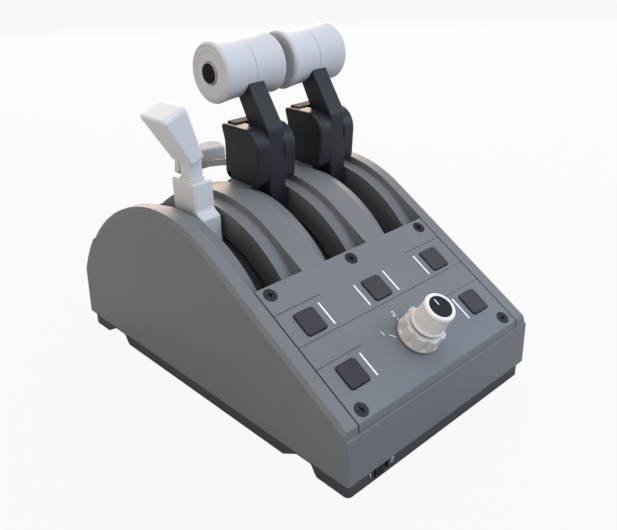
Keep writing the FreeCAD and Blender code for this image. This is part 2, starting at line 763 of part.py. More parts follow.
def make_drum(x):
    """Dust shield that turns with a lever: a curved band on two webs and a hub."""
    band = sector(DRUM_R - 2.4, DRUM_R, -DRUM_SPREAD, DRUM_SPREAD, x - DRUM_HALF, x + DRUM_HALF)
    webs = []
    windows = []
    for side in (-1, 1):
        near, far = sorted((x + side * TONGUE_HALF, x + side * (TONGUE_HALF + 2.4)))
        webs.append(sector(5.0, DRUM_R - 1.0, -DRUM_SPREAD, DRUM_SPREAD, near, far))
        for centre in (-48.0, 48.0):
            start = math.radians(centre - 15.0)
            end = math.radians(centre + 15.0)
            windows.append(sector(26.0, 56.0, start, end, near - 1.0, far + 1.0))
    hub = rod(HUB_R, x - DRUM_HALF, x + DRUM_HALF, PIVOT_Y, PIVOT_Z)
    body = fused([band, hub] + webs)
    pocket = box(x - TONGUE_HALF, x + TONGUE_HALF, ARM_FRONT + 3.0, ARM_REAR - 1.0,
                 PIVOT_Z + HUB_R, PIVOT_Z + DRUM_R + 2.0)
    bore = rod(AXLE_R + RUNNING, x - 20.0, x + 20.0, PIVOT_Y, PIVOT_Z)
    return body.cut(windows + [pocket, bore]).removeSplitter()


def friction_washers():
    """Wave washers that press on the hubs and hold the levers where they are put."""
    rings = []
    for x in LEVER_X.values():
        low = x + DRUM_HALF + 0.2
        ring = rod(7.0, low, low + 0.8, PIVOT_Y, PIVOT_Z)
        rings.append(ring.cut(rod(AXLE_R, low - 1.0, low + 3.0, PIVOT_Y, PIVOT_Z)))
    return Part.makeCompound(rings)


# ---------------------------------------------------------------- throttle levers
ARM_BEND_Z = 152.0
ARM_EDGE = 1.2
CHEEK_LOW = PIVOT_Z + 89.9
CHEEK_TOP = PIVOT_Z + 125.1
CHEEK_EDGE = 1.7
CHEEK_ROUND = {-1: 11.4, 1: 13.5}
COVER_HALF = 12.6
TONGUE_LOW = PIVOT_Z + HUB_R + 1.0


def arm_blade(x):
    """Flat blade of a throttle arm: upright, then leaning back into the grip."""
    low = PIVOT_Z + DRUM_R - 6.0
    corners = [
        (ARM_FRONT, low, 0),
        (ARM_FRONT, ARM_BEND_Z, 8.0),
        (26.0, 183.3, 0),
        (34.0, 186.0, 0),
        (37.5, 177.0, 0),
        (ARM_REAR, ARM_BEND_Z + 0.8, 8.0),
        (ARM_REAR, low, 0),
    ]
    blade = rounded_slab(corners, x - LEVER_HALF, x + LEVER_HALF)
    return soften(blade, ARM_EDGE, lambda e: e.BoundBox.XLength < 0.1
                  and e.BoundBox.YMin < 37.0 and e.BoundBox.ZMax > low + 1.0
                  and not e.BoundBox.ZMin > 175.0)


def grip_hub(x):
    """Round boss inside the grip, on the top of the blade."""
    return rod(11.0, x - LEVER_HALF, x + LEVER_HALF, GRIP_Y, GRIP_Z)


def make_cheek(x, side):
    """Side boss of the arm: flat top with a pointed rear, a broad round front."""
    corners = [
        (6.9, CHEEK_LOW, 3.5),
        (4.3, CHEEK_TOP, CHEEK_ROUND[side]),
        (40.3, CHEEK_TOP, 2.0),
        (37.4, 141.9, 15.0),
        (38.6, CHEEK_LOW, 6.0),
    ]
    outer = x + side * CHEEK_OUT[side]
    low, high = sorted((x + side * (LEVER_HALF - 0.5), outer))
    cheek = rounded_slab(corners, low, high)
    return soften(cheek, CHEEK_EDGE, lambda e: abs(e.BoundBox.XMin - outer) < 0.01
                  and abs(e.BoundBox.XMax - outer) < 0.01)


def make_throttle_arm(x):
    blade = arm_blade(x)
    blade = blade.cut(rod(DRUM_R, x - 20.0, x + 20.0, PIVOT_Y, PIVOT_Z))
    tongue = box(x - TONGUE_HALF + 0.1, x + TONGUE_HALF - 0.1, ARM_FRONT + 3.1,
                 ARM_REAR - 1.1, TONGUE_LOW, PIVOT_Z + DRUM_R + 1.0)
    cheeks = [make_cheek(x, side) for side in (-1, 1)]
    # web that closes the space between the cheeks, over the reverser lever
    web = polygon_slab([(ARM_REAR - 1.0, 151.5), (38.4, 151.5), (36.4, 142.0),
                        (33.6, 131.0), (ARM_REAR - 1.0, 129.0)],
                       x - LEVER_HALF, x + LEVER_HALF)
    # cover plate on top of the cheeks, behind the blade
    cover = rounded_slab([(29.5, CHEEK_TOP - 2.0, 0), (29.5, CHEEK_TOP + 0.8, 0.6),
                          (37.6, CHEEK_TOP + 1.2, 1.0), (38.4, CHEEK_TOP - 2.0, 0)],
                         x - COVER_HALF, x + COVER_HALF)
    cover = soften(cover, 0.7, lambda e: e.BoundBox.XLength < 0.1
                   and e.BoundBox.ZMin > CHEEK_TOP and e.BoundBox.YLength > 3.0)
    body = fused([blade, grip_hub(x), tongue, web, cover] + cheeks)
    pin_hole = rod(PIN_R, x - 30.0, x + 30.0, REVERSER_Y, REVERSER_Z)
    seat = rod(3.0, x - TONGUE_HALF - 3.0, x + TONGUE_HALF + 3.0, GRIP_Y, GRIP_Z)
    return body.cut([pin_hole, seat]).removeSplitter()


def smooth_curve(points):
    curve = Part.BSplineCurve()
    curve.interpolate(points)
    return curve.toShape()


def grip_profile(start, end):
    """Half of the waisted grip: radius grows from the middle to the end."""
    grow = GRIP_END_R - GRIP_MID_R
    rim = 2.2
    points = [Vector(start, GRIP_MID_R, 0), Vector(start + (end - start) * 0.45,
              GRIP_MID_R + grow * 0.22, 0), Vector(end - math.copysign(rim, end), GRIP_END_R, 0)]
    return points


def make_grip_half(x, side, bored):
    """One half of a grip; side is -1 for the left half and 1 for the right half."""
    seam = 0.1 * side
    end = GRIP_HALF * side
    rim = 2.2 * side
    core = 4.0
    cup = 1.3 * side
    mid, waist, shoulder = grip_profile(seam, end)
    crown = Vector(end - rim * 0.3, GRIP_END_R - 0.66, 0)
    lip = Vector(end, GRIP_END_R - 2.2, 0)
    edges = [
        smooth_curve([mid, waist, shoulder]),
        Part.Arc(shoulder, crown, lip).toShape(),
        Part.LineSegment(lip, Vector(end, CUP_R, 0)).toShape(),
        Part.LineSegment(Vector(end, CUP_R, 0), Vector(end - cup, CUP_R, 0)).toShape(),
        Part.LineSegment(Vector(end - cup, CUP_R, 0), Vector(end - cup, core, 0)).toShape(),
        Part.LineSegment(Vector(end - cup, core, 0), Vector(seam, core, 0)).toShape(),
        Part.LineSegment(Vector(seam, core, 0), mid).toShape(),
    ]
    face = Part.Face(Part.Wire(edges))
    body = face.revolve(Vector(0, 0, 0), Vector(1, 0, 0), 360)
    body.translate(Vector(x, GRIP_Y, GRIP_Z))
    if bored:
        body = body.cut(rod(BEZEL_R, *sorted((x + end - 4.8 * side, x + end)), GRIP_Y, GRIP_Z))
    return body.cut([arm_blade(x), grip_hub(x)])


THUMB_SIDE = {"left": -1, "right": 1}


def turned(x, profile):
    """Solid of revolution about a grip's axis from (distance along X, radius) points."""
    points = [Vector(x + px, GRIP_Y, GRIP_Z + r) for px, r in profile]
    face = Part.Face(Part.makePolygon(points + [points[0]]))
    return face.revolve(Vector(x, GRIP_Y, GRIP_Z), Vector(1, 0, 0), 360)


def make_grip_cap(x, side, bored):
    """Disc that closes the end of a grip; the outer one holds the thumb button."""
    inner = BEZEL_R if bored else 0.0
    end = GRIP_HALF * side
    back = end - 1.3 * side
    profile = [
        (back, inner), (back, CUP_R - 0.1), (end, CUP_R - 0.1), (end, 13.4),
        (end - 0.5 * side, 12.9), (end - 0.5 * side, inner),
    ]
    return turned(x, profile)


def make_thumb_bezel(x, side):
    end = GRIP_HALF * side
    profile = [
        (end - 4.8 * side, BEZEL_BORE), (end - 4.8 * side, BEZEL_R),
        (end + 0.1 * side, BEZEL_R), (end + 0.7 * side, 6.5), (end + 0.7 * side, BEZEL_BORE),
    ]
    return turned(x, profile)


def make_thumb_button(x, side):
    end = GRIP_HALF * side
    profile = [
        (end - 3.0 * side, 0.0), (end - 3.0 * side, BEZEL_BORE - RUNNING),
        (end + 1.2 * side, BEZEL_BORE - RUNNING),
        (end + 1.8 * side, 5.0), (end + 2.1 * side, 3.2), (end + 2.2 * side, 0.0),
    ]
    return turned(x, profile)


def make_thumb_switch(x, side):
    """Push switch in the core of the grip, behind the thumb button."""
    near = x + side * (GRIP_HALF - 10.0)
    far = x + side * (GRIP_HALF - 4.9)
    low, high = sorted((near, far))
    return rod(4.0, low, high, GRIP_Y, GRIP_Z)


EYE_R = 5.0
EYE_HALF = 5.5
STRIP_HALF = 2.4
TANG_END = 88.0
PIN_HALF = 11.5


def make_reverser_lever(x):
    """Lever between the cheeks: an eye on the pin and a slim strip out to the paddle."""
    half = STRIP_HALF
    eye = rod(EYE_R, x - EYE_HALF, x + EYE_HALF, REVERSER_Y, REVERSER_Z)
    strip = polygon_slab([
        (REVERSER_Y, REVERSER_Z - 3.6), (52.0, 118.6), (70.0, 117.4), (TANG_END, 117.0),
        (TANG_END, 120.6), (70.0, 121.2), (54.0, 122.6), (REVERSER_Y, REVERSER_Z + 3.6),
    ], x - half, x + half)
    body = fused([eye, strip])
    return body.cut(rod(PIN_R + RUNNING, x - 20.0, x + 20.0, REVERSER_Y, REVERSER_Z))


def make_reverser_pin(x):
    return rod(PIN_R, x - PIN_HALF, x + PIN_HALF, REVERSER_Y, REVERSER_Z)


PADDLE_HALF = 21.5
PADDLE_FRONT = 85.5
PADDLE_REAR = 94.2
PADDLE_LOW = 107.0
PADDLE_TOP = 125.0


def make_reverser_paddle(x):
    """Pale finger bar on the end of a reverser lever: creased in front, hollow behind."""
    corners = [
        (PADDLE_FRONT, PADDLE_TOP - 3.7, 0.8),
        (PADDLE_FRONT + 0.5, PADDLE_LOW + 6.5, 3.0),
        (PADDLE_FRONT + 3.1, PADDLE_LOW + 0.2, 1.2),
        (PADDLE_REAR - 2.0, PADDLE_LOW, 1.2),
        (PADDLE_REAR - 3.4, PADDLE_LOW + 6.5, 3.0),
        (PADDLE_REAR - 3.0, PADDLE_TOP - 6.0, 3.0),
        (PADDLE_REAR, PADDLE_TOP, 1.0),
    ]
    bar = rounded_slab(corners, x - PADDLE_HALF, x + PADDLE_HALF)
    frame = box(x - PADDLE_HALF, x + PADDLE_HALF, PADDLE_FRONT - 2.0, PADDLE_REAR + 2.0,
                PADDLE_LOW, PADDLE_TOP)
    frame = soften(frame, 7.0, lambda e: e.BoundBox.YLength > 3.0 and e.BoundBox.XLength < 0.1
                   and e.BoundBox.ZLength < 0.1)
    return bar.common(frame).cut(make_reverser_lever(x))


# ---------------------------------------------------------------- speed brake lever
HEAD_LEAN = math.radians(20.9)
HEAD_BASE_Z = 140.4


STEM_HALF = 7.0
STEM_FRONT = 10.8
STEM_REAR = 33.0
NECK_Y = 21.6


def speedbrake_neck():
    return rounded_block(LEVER_X["speedbrake"], NECK_Y, 9.6, 10.8, 128.0, 146.0, 2.0)


def make_speedbrake_stem():
    """Square block with a step in front, a collar on top and the neck of the head."""
    x = LEVER_X["speedbrake"]
    top = 130.9
    low = PIVOT_Z + DRUM_R - 6.0
    corners = [
        (STEM_FRONT - 5.6, low, 0),
        (STEM_FRONT - 5.6, 110.2, 1.2),
        (STEM_FRONT, 113.4, 3.0),
        (STEM_FRONT, top, 1.6),
        (STEM_REAR, top, 1.6),
        (STEM_REAR, low, 0),
    ]
    stem = rounded_slab(corners, x - STEM_HALF, x + STEM_HALF)
    stem = soften(stem, 1.5, lambda e: e.BoundBox.XLength < 0.1
                  and e.BoundBox.ZMax > low + 1.0)
    stem = stem.cut(rod(DRUM_R, x - 20.0, x + 20.0, PIVOT_Y, PIVOT_Z))
    tongue = box(x - TONGUE_HALF + 0.1, x + TONGUE_HALF - 0.1, ARM_FRONT + 3.1,
                 ARM_REAR - 1.1, TONGUE_LOW, PIVOT_Z + DRUM_R + 1.0)
    collar = rounded_block(x, NECK_Y, 11.4, 12.6, top - 1.0, top + 1.4, 2.6)
    collar = soften(collar, 0.8, lambda e: e.BoundBox.ZMin > top + 1.3)
    return fused([stem, tongue, collar, speedbrake_neck()])


def make_speedbrake_head():
    """Tapered block on the neck, wider at the top and leaning to the left."""
    rings = []
    for height, half, y_front, y_rear in ((3.8, 4.9, 11.2, 31.6), (33.9, 8.6, 13.8, 38.6)):
        corners = [(-half, y_front), (half, y_front), (half, y_rear), (-half, y_rear)]
        points = [Vector(cx, cy, height) for cx, cy in corners]
        rings.append(Part.makePolygon(points + [points[0]]))
    head = loft(rings)
    head = soften(head, 3.0, lambda e: e.BoundBox.ZMin > 33.0 and e.BoundBox.YMax < 14.5)
    head = soften(head, 1.6, lambda e: e.BoundBox.ZLength > 20.0)
    head = soften(head, 1.0, lambda e: e.BoundBox.ZMin > 33.0)
    head.rotate(Vector(0, 0, 0), Vector(0, 1, 0), -math.degrees(HEAD_LEAN))
    head.translate(Vector(LEVER_X["speedbrake"] - 0.5, 0, HEAD_BASE_Z))
    return head.cut(speedbrake_neck())


def magnets():
    """Small sensor magnets, one pressed into the end of each drum hub."""
    discs = {}
    for name, x in LEVER_X.items():
        low = x - DRUM_HALF
        discs[name] = rod(1.5, low, low + 2.0, PIVOT_Y - 6.2, PIVOT_Z)
    return discs


def make_sensor_boards():
    """Upright boards beside the hubs that read the magnets."""
    boards = []
    for x in LEVER_X.values():
        low = x - DRUM_HALF - 2.0
        boards.append(box(low, low + 1.2, PIVOT_Y - 16.0, PIVOT_Y - 3.6, SPLIT_Z, PIVOT_Z + 6.0))
    return Part.makeCompound(boards)


# ---------------------------------------------------------------- build
def build():
    export("housing", make_housing())
    export("control_panel", make_control_panel())
    export("panel_screws", make_panel_screws())
    for number, (x, s) in enumerate(button_places(), 1):
        export("panel_button_%d" % number, make_button(x, s))
    export("panel_board", make_panel_board())
    export("panel_switches", make_panel_switches())
    export("encoder_body", make_encoder_body())
    export("knob_spindle", make_knob_spindle())
    export("knob_ring", make_knob_ring())
    export("knob_dial", make_knob_dial())
    export("knob_cap", make_knob_cap())
    export("base_plate", make_base_plate())
    export("base_feet", make_base_feet())
    export("base_screws", make_base_screws())
    export("mount_inserts", make_mount_inserts())
    export("selector_switch", make_selector_switch())
    export("engine_selector", make_engine_selector())
    export("rear_cover", make_rear_cover())
    export("usb_socket", make_usb_socket())
    export("main_board", make_main_board())
    export("ballast_plate", make_ballast())
    export("axle_supports", make_axle_supports())
    export("axle_bushes", make_axle_bushes())
    export("lever_axle", make_lever_axle())
    export("friction_washers", friction_washers())
    export("sensor_boards", make_sensor_boards())
    discs = magnets()
    for name, x in LEVER_X.items():
        export(name + "_drum", make_drum(x).cut(discs[name]))
        export(name + "_magnet", discs[name])
    export("speedbrake_stem", make_speedbrake_stem())
    export("speedbrake_head", make_speedbrake_head())
    for name, outer in THUMB_SIDE.items():
        x = LEVER_X[name]
        export(name + "_throttle_arm", make_throttle_arm(x))
        export(name + "_grip_outer", make_grip_half(x, outer, True))
        export(name + "_grip_inner", make_grip_half(x, -outer, False))
        export(name + "_grip_cap", make_grip_cap(x, outer, True))
        export(name + "_grip_plug", make_grip_cap(x, -outer, False))
        export(name + "_thumb_bezel", make_thumb_bezel(x, outer))
        export(name + "_thumb_button", make_thumb_button(x, outer))
        export(name + "_thumb_switch", make_thumb_switch(x, outer))
        export(name + "_reverser_lever", make_reverser_lever(x))
        export(name + "_reverser_pin", make_reverser_pin(x))
        export(name + "_reverser_paddle", make_reverser_paddle(x))


build()
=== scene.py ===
import json
import math

import bmesh
import bpy
from mathutils import Matrix, Vector


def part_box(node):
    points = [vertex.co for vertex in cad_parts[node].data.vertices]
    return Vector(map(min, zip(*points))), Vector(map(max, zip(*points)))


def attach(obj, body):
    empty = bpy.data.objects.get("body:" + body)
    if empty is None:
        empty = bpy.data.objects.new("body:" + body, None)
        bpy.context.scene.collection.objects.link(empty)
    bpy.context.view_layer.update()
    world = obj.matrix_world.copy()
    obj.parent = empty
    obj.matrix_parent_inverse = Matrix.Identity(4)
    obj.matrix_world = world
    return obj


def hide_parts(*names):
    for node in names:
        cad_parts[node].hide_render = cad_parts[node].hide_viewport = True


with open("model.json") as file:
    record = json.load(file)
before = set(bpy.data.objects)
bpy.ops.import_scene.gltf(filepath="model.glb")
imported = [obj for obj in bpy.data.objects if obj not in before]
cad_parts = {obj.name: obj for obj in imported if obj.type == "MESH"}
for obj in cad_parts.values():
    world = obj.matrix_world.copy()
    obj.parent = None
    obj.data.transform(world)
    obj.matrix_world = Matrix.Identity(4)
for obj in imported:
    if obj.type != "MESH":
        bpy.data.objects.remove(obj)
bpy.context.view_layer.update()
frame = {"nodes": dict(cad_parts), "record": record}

# Lengths are in millimetres, unless a name or a comment says metres.
MM = 0.001
SIDES = ("left", "right")

# the sloping control panel: its tilt, and the spot where its own distances start
SLOPE = math.radians(30.9)
PIVOT_Y = 20.5
PIVOT_Z = 27.7
RIB_R = 89.6
PANEL_Y = -127.6
PANEL_Z = PIVOT_Z + (RIB_R + (PANEL_Y - PIVOT_Y) * math.sin(SLOPE)) / math.cos(SLOPE)


def panel_matrix(x=0.0, s=0.0, lift=0.0):
    """Row-frame placing of a spot on the panel: X across, Y up the slope, Z out of it."""
    origin = Matrix.Translation(Vector((0, PANEL_Y, PANEL_Z)) * MM)
    tilt = Matrix.Rotation(SLOPE, 4, "X")
    return origin @ tilt @ Matrix.Translation(Vector((x, s, lift)) * MM)


# ---------------------------------------------------------------- material building blocks
# sockets of a Mix node that mixes colors, whose names aren't unique
MIX_FACTOR = 0
MIX_FIRST = 6
MIX_SECOND = 7
MIX_RESULT = 2
# dot product of the rounded and the flat normal: well round an edge, and off it
EDGE_TURNED = 0.85
EDGE_FLAT = 0.995
BEVEL_SAMPLES = 6
USUAL_SPECULAR = 0.5


def shade(color, factor):
    return tuple(min(1.0, channel * factor) for channel in color)


class Graph:
    """A material's node tree, with short calls for the few nodes that the finishes share."""

    def __init__(self, name):
        self.material = bpy.data.materials.new(name)
        self.material.use_nodes = True
        self.tree = self.material.node_tree
        self.shader = self.tree.nodes["Principled BSDF"]
        self.place = self.add("ShaderNodeTexCoord").outputs["Object"]

    def feed(self, socket, value):
        """Link another node's output to a socket, or set a plain value on it."""
        if isinstance(value, bpy.types.NodeSocket):
            self.tree.links.new(value, socket)
        elif socket.type == "RGBA":
            socket.default_value = (*value, 1.0)
        else:
            socket.default_value = value

    def add(self, kind, inputs=None, **settings):
        """New node with its own settings, and with what goes into its named sockets."""
        node = self.tree.nodes.new(kind)
        for key, value in settings.items():
            setattr(node, key, value)
        for socket, value in (inputs or {}).items():
            self.feed(node.inputs[socket], value)
        return node

    def math(self, operation, *values):
        node = self.add("ShaderNodeMath", dict(enumerate(values)), operation=operation)
        return node.outputs["Value"]

    def mix(self, factor, first, second):
        """Color between two colors."""
        inputs = {MIX_FACTOR: factor, MIX_FIRST: first, MIX_SECOND: second}
        return self.add("ShaderNodeMix", inputs, data_type="RGBA").outputs[MIX_RESULT]

    def span(self, value, low, high, from_low=0.0, from_high=1.0):
        """Carry a value from one range over to another, and hold it at the ends."""
        node = self.add("ShaderNodeMapRange", {"Value": value, "To Min": low, "To Max": high,
                                               "From Min": from_low, "From Max": from_high})
        return node.outputs["Result"]

    def split(self, vector):
        """X, Y and Z of a vector."""
        node = self.add("ShaderNodeSeparateXYZ", {"Vector": vector})
        return [node.outputs[axis] for axis in "XYZ"]

    def noise(self, scale, detail=2.0, stretch=(1, 1, 1)):
        """Noise with a scale per metre, finer along an axis by its part of stretch."""
        mapping = self.add("ShaderNodeMapping", {"Vector": self.place, "Scale": stretch})
        texture = self.add("ShaderNodeTexNoise", {"Vector": mapping.outputs["Vector"],
                                                  "Scale": scale, "Detail": detail})
        return texture.outputs["Fac"]

    def panel_axes(self):
        """Position along the panel's own axes, in metres."""
        mapping = self.add("ShaderNodeMapping",
                           {"Vector": self.place, "Rotation": (SLOPE, 0, 0),
                            "Location": panel_matrix().translation}, vector_type="TEXTURE")
        return self.split(mapping.outputs["Vector"])

    def wave(self, value, pitch):
        """Sine of a length in metres, with a pitch in millimetres."""
        return self.math("SINE", self.math("MULTIPLY", value, 2 * math.pi / (pitch * MM)))

    def within(self, y_range, z_range):
        """One inside a box across Y and Z, and zero outside it."""
        _, y, z = self.split(self.place)
        inside = 1.0
        for value, (low, high) in ((y, y_range), (z, z_range)):
            above = self.math("GREATER_THAN", value, low * MM)
            below = self.math("LESS_THAN", value, high * MM)
            inside = self.math("MULTIPLY", self.math("MULTIPLY", above, below), inside)
        return inside

    def rounded(self, radius):
        """Normal of the surface with its edges rounded."""
        bevel = self.add("ShaderNodeBevel", {"Radius": radius * MM}, samples=BEVEL_SAMPLES)
        return bevel.outputs["Normal"]

    def edges(self, normal):
        """One where the rounded normal turns away from the flat one, and zero elsewhere."""
        flat = self.add("ShaderNodeNewGeometry").outputs["Normal"]
        dot = self.add("ShaderNodeVectorMath", {0: normal, 1: flat}, operation="DOT_PRODUCT")
        return self.span(dot.outputs["Value"], 1.0, 0.0, EDGE_TURNED, EDGE_FLAT)

    def bump(self, height, depth, strength, normal):
        """Relief on top of another normal."""
        node = self.add("ShaderNodeBump", {"Height": height, "Distance": depth * MM,
                                           "Strength": strength, "Normal": normal})
        return node.outputs["Normal"]

    def tint(self, pattern, color, factors):
        """Color multiplied by a low to a high factor, as the pattern goes."""
        low, high = factors
        return self.mix(pattern, shade(color, low), shade(color, high))

    def scatter(self, pattern, rough, spread):
        """Roughness that is less to more by the two ends of spread, as the pattern goes."""
        below, above = spread
        return self.span(pattern, rough + below, rough + above)

    def surface(self, color, roughness, normal, specular=USUAL_SPECULAR):
        """Wire up the shader, and give the material."""
        for socket, value in (("Base Color", color), ("Roughness", roughness),
                              ("Normal", normal), ("Specular IOR Level", specular)):
            self.feed(self.shader.inputs[socket], value)
        return self.material


# ---------------------------------------------------------------- finishes
# Scales are per metre, and tints are factors on the color.
FLOW_SCALE = 45.0
FLOW_DETAIL = 3.0
FLOW_TINT = (0.95, 1.05)
RUBBED_TINT = 1.9
GRAIN_DEPTH = 0.06
GRAIN_SPREAD = (-0.05, 0.07)
MATT_EXTRA = 0.25
PLASTIC_IOR = 1.46


def moulded(name, color, rough, grain=0.35, grain_size=0.45, edge=0.5, wear=0.12, matt=None,
            specular=USUAL_SPECULAR):
    """Moulded plastic: spark-eroded grain, slight flow mottling, rubbed edges.

    matt is a (y, z) box whose surface is left rougher.
    """
    graph = Graph(name)
    normal = graph.rounded(edge)
    mottled = graph.tint(graph.noise(FLOW_SCALE, FLOW_DETAIL), color, FLOW_TINT)
    rubbed = graph.math("MULTIPLY", graph.edges(normal), wear)
    base = graph.mix(rubbed, mottled, shade(color, RUBBED_TINT))
    fine = graph.noise(1 / MM / grain_size)
    roughness = graph.scatter(fine, rough, GRAIN_SPREAD)
    if matt:
        rougher = graph.math("MULTIPLY", graph.within(*matt), MATT_EXTRA)
        roughness = graph.math("ADD", roughness, rougher)
    graph.shader.inputs["IOR"].default_value = PLASTIC_IOR
    return graph.surface(base, roughness, graph.bump(fine, GRAIN_DEPTH, grain, normal), specular)


PAINT_SCALE = 30.0
PAINT_TINT = (0.97, 1.02)
PEEL_SCALE = 900.0
PEEL_DETAIL = 1.0
PEEL_DEPTH = 0.03
PEEL_STRENGTH = 0.15
PEEL_SPREAD = (-0.04, 0.06)


def satin(name, color, rough, edge=0.6, specular=USUAL_SPECULAR):
    """Smooth painted plastic with a faint orange-peel and soft edges."""
    graph = Graph(name)
    base = graph.tint(graph.noise(PAINT_SCALE), color, PAINT_TINT)
    peel = graph.noise(PEEL_SCALE, PEEL_DETAIL)
    normal = graph.bump(peel, PEEL_DEPTH, PEEL_STRENGTH, graph.rounded(edge))
    return graph.surface(base, graph.scatter(peel, rough, PEEL_SPREAD), normal, specular)


METAL_SCALE = 2500.0
METAL_TINT = (0.85, 1.1)
METAL_DEPTH = 0.02
METAL_STRENGTH = 0.2
METAL_SPREAD = (-0.08, 0.1)
METAL_EDGE = 0.15


def metal(name, color, rough, stretch=(1, 1, 1)):
    """Machined or blackened metal with a fine directional grain."""
    graph = Graph(name)
    grain = graph.noise(METAL_SCALE, stretch=stretch)
    base = graph.tint(grain, color, METAL_TINT)
    normal = graph.bump(grain, METAL_DEPTH, METAL_STRENGTH, graph.rounded(METAL_EDGE))
    graph.shader.inputs["Metallic"].default_value = 1.0
    return graph.surface(base, graph.scatter(grain, rough, METAL_SPREAD), normal)


DIMPLE_PITCH = 1.35
# the part of the wave's height over which a dimple rises, and its color at the top
DIMPLE_RISE = (0.1, 0.7)
DIMPLE_TINT = (1.0, 1.5)
DIMPLE_DEPTH = 0.3
DIMPLE_STRENGTH = 0.8
SPECKLE_SCALE = 900.0
SPECKLE_SHARE = 0.6
CAP_EDGE = 0.5
CAP_ROUGHNESS = (0.48, 0.62)
CAP_SPECULAR = 0.4


def button_face(name, color):
    """Moulded rubber-like cap with a grid of small dimples on its face."""
    graph = Graph(name)
    across, along, _ = graph.panel_axes()
    grid = graph.math("MULTIPLY", graph.wave(across, DIMPLE_PITCH),
                      graph.wave(along, DIMPLE_PITCH))
    dimples = graph.span(grid, 0.0, 1.0, *DIMPLE_RISE)
    speckle = graph.noise(SPECKLE_SCALE)
    relief = graph.math("ADD", dimples, graph.math("MULTIPLY", speckle, SPECKLE_SHARE))
    normal = graph.bump(relief, DIMPLE_DEPTH, DIMPLE_STRENGTH, graph.rounded(CAP_EDGE))
    base = graph.tint(dimples, color, DIMPLE_TINT)
    return graph.surface(base, graph.span(speckle, *CAP_ROUGHNESS), normal, CAP_SPECULAR)


# the cover plate on top of a throttle arm's cheeks: its reach across Y and Z
COVER_PLATE = ((29.0, 38.8), (153.2, 154.4))

# Each record slot's finish: name, color, roughness, and what sets it apart.
MATERIALS = {
    "shell_grey": moulded("shell_plastic", (0.125, 0.127, 0.132), 0.50),
    "panel_grey": moulded("panel_plastic", (0.125, 0.129, 0.137), 0.48),
    "base_black": moulded("base_plastic", (0.038, 0.038, 0.039), 0.55),
    "lever_dark": moulded("lever_plastic", (0.0085, 0.0100, 0.0135), 0.42, grain=0.45,
                          wear=0.5, matt=COVER_PLATE, specular=0.37),
    "drum_black": moulded("drum_plastic", (0.006, 0.006, 0.007), 0.60),
    "grip_white": satin("grip_plastic", (0.52, 0.52, 0.52), 0.45, specular=0.25),
    "paddle_grey": satin("paddle_plastic", (0.52, 0.51, 0.50), 0.5, specular=0.2),
    "button_grey": button_face("button_plastic", (0.0145, 0.0155, 0.020)),
    "switch_black": moulded("switch_plastic", (0.006, 0.006, 0.007), 0.4),
    "bezel_metal": metal("bezel_metal", (0.45, 0.45, 0.46), 0.28),
    "screw_black": metal("screw_steel", (0.035, 0.037, 0.042), 0.4),
    "steel": metal("ground_steel", (0.55, 0.56, 0.57), 0.3, (1, 6, 6)),
    "brass": metal("machined_brass", (0.6, 0.45, 0.2), 0.3, (1, 1, 8)),
    "rubber": moulded("pad_rubber", (0.02, 0.02, 0.02), 0.85, grain=0.8, grain_size=0.8),
    "board_green": moulded("board_laminate", (0.01, 0.06, 0.03), 0.35, edge=0.1),
}
GRIP = satin("grip_shell_plastic", (0.475, 0.475, 0.48), 0.55, specular=0.08)
THUMB = moulded("thumb_plastic", (0.003, 0.003, 0.003), 0.5, specular=0.15)
# reverser lever plate: the paddle's pale plastic, its color darkened as painted shade for the
# plate's shaded side face
LEVER_PLATE_SHADED = satin("lever_plate_painted_shade", (0.22, 0.22, 0.23), 0.5, specular=0.3)
PRINT = satin("print_white", (0.80, 0.80, 0.80), 0.55)

# nodes with a finer finish than their slot's
SPECIAL = {
    "knob_dial": satin("dial_plastic", (0.66, 0.64, 0.61), 0.42, edge=0.08),
    "knob_ring": satin("ring_plastic", (0.51, 0.49, 0.465), 0.40, edge=0.3),
    "knob_cap": moulded("disc_plastic", (0.0045, 0.0055, 0.009), 0.4, specular=0.25),
}
for side in SIDES:
    SPECIAL[side + "_thumb_button"] = THUMB
    for part in ("grip_outer", "grip_inner", "grip_cap", "grip_plug"):
        SPECIAL[side + "_" + part] = GRIP


def dress_cad_nodes():
    """Every CAD node takes the finish of its record slot, a few a finer one of their own."""
    for sub in frame["record"]["subparts"]:
        name = sub["node"]
        piece = frame["nodes"][name]
        piece.data.materials.clear()
        piece.data.materials.append(SPECIAL.get(name, MATERIALS[sub["material_slot"]]))


dress_cad_nodes()


# ---------------------------------------------------------------- reverser levers
# X of each throttle's middle
THROTTLES = {"left": 0.0, "right": (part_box("right_throttle_arm")[0][0]
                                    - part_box("left_throttle_arm")[0][0]) / MM}
REVERSER_Y = 34.3
REVERSER_Z = 121.1
SUBDIVISIONS = 3


def add_mesh(name, build, placing, finish):
    """Object from a built mesh in millimetres, at its place in the row frame."""
    mesh = bpy.data.meshes.new(name)
    build.to_mesh(mesh)
    build.free()
    mesh.transform(placing @ Matrix.Scale(MM, 4))
    mesh.materials.append(finish)
    piece = bpy.data.objects.new(name, mesh)
    bpy.context.scene.collection.objects.link(piece)
    return piece


def add_piece(name, build, body, stands_for, finish, placing=Matrix(), subdivided=False):
    """Turn a built mesh into a piece that stands for a CAD node."""
    bmesh.ops.recalc_face_normals(build, faces=build.faces)
    for face in build.faces:
        face.smooth = subdivided
    piece = add_mesh(name, build, placing, finish)
    if subdivided:
        rounding = piece.modifiers.new("rounding", "SUBSURF")
        rounding.levels = rounding.render_levels = SUBDIVISIONS
    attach(piece, body)
    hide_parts(stands_for)


PADDLE_HALF = 20.3
# the ridge in front: its place in the middle, and how far it goes back and drops by the ends
RIDGE_Y = 85.6
RIDGE_Z = 121.9
RIDGE_BACK = 0.8
RIDGE_DROP = 2.0
# the rear top edge: how far it is behind the ridge, and above it in the middle and by the ends
TOP_BACK = 8.4
TOP_RISE = 2.8
TOP_END_RISE = 3.2
